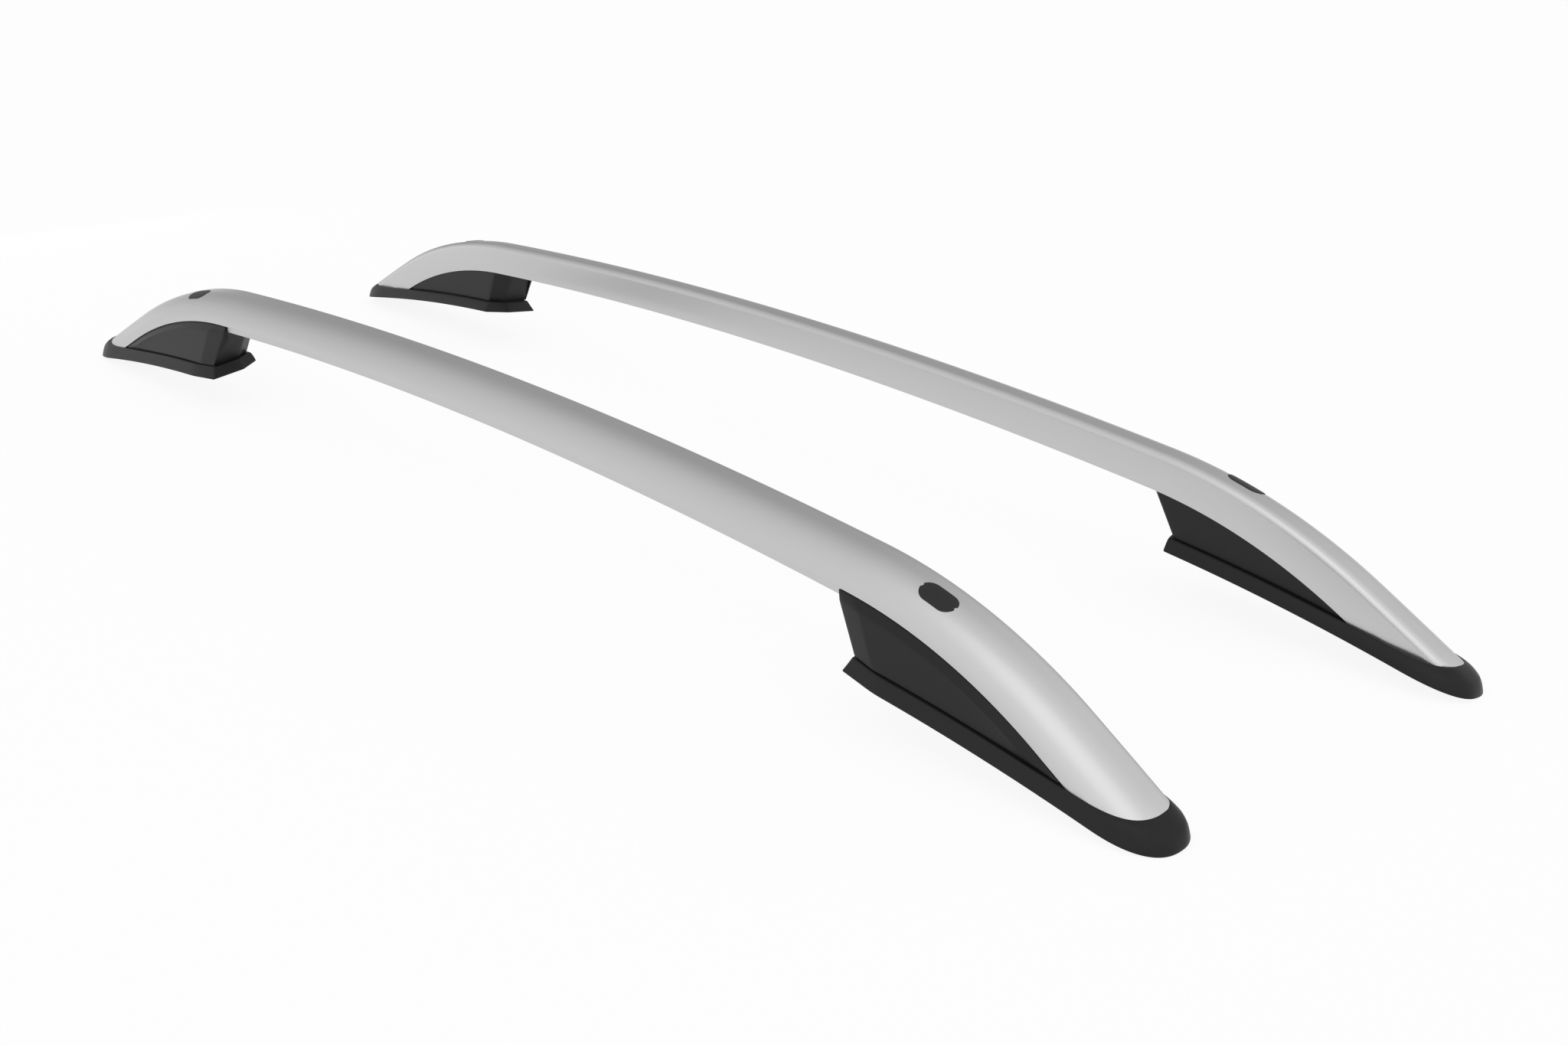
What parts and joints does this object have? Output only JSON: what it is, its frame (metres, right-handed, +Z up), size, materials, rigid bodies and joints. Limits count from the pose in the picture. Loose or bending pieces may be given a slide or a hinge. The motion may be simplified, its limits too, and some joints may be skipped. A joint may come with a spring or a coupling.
{
  "type": "roof side rail pair",
  "caption": "Pair of arched roof side rails: curved light alloy extrusions, each on two long black moulded feet with tapered noses, skirts and oval screw covers.",
  "frame": {"origin": "centre of the underside of the pair's bounding box", "axes": "+X along the rails towards the front feet, +Y across to the left rail, +Z up from the roof"},
  "size_m": [1.9998, 0.5372, 0.1826],
  "materials": {
    "rail_alloy": "satin anodised",
    "foot_plastic": "fine moulded texture, half matt",
    "cap_plastic": "matt",
    "gasket_rubber": "matt",
    "insert_alloy": "as cast",
    "fixing_steel": "zinc plated"
  },
  "bodies": {
    "root": {"rail_left": "rail_alloy", "rail_right": "rail_alloy", "front_left_base": "foot_plastic", "front_left_gasket": "gasket_rubber", "front_left_pedestal": "foot_plastic", "front_left_insert": "insert_alloy", "front_left_sleeve": "fixing_steel", "front_left_screws": "fixing_steel", "front_left_cap": "cap_plastic", "front_right_base": "foot_plastic", "front_right_gasket": "gasket_rubber", "front_right_pedestal": "foot_plastic", "front_right_insert": "insert_alloy", "front_right_sleeve": "fixing_steel", "front_right_screws": "fixing_steel", "front_right_cap": "cap_plastic", "rear_left_base": "foot_plastic", "rear_left_gasket": "gasket_rubber", "rear_left_pedestal": "foot_plastic", "rear_left_insert": "insert_alloy", "rear_left_sleeve": "fixing_steel", "rear_left_screws": "fixing_steel", "rear_left_cap": "cap_plastic", "rear_right_base": "foot_plastic", "rear_right_gasket": "gasket_rubber", "rear_right_pedestal": "foot_plastic", "rear_right_insert": "insert_alloy", "rear_right_sleeve": "fixing_steel", "rear_right_screws": "fixing_steel", "rear_right_cap": "cap_plastic"}
  },
  "joints": []
}
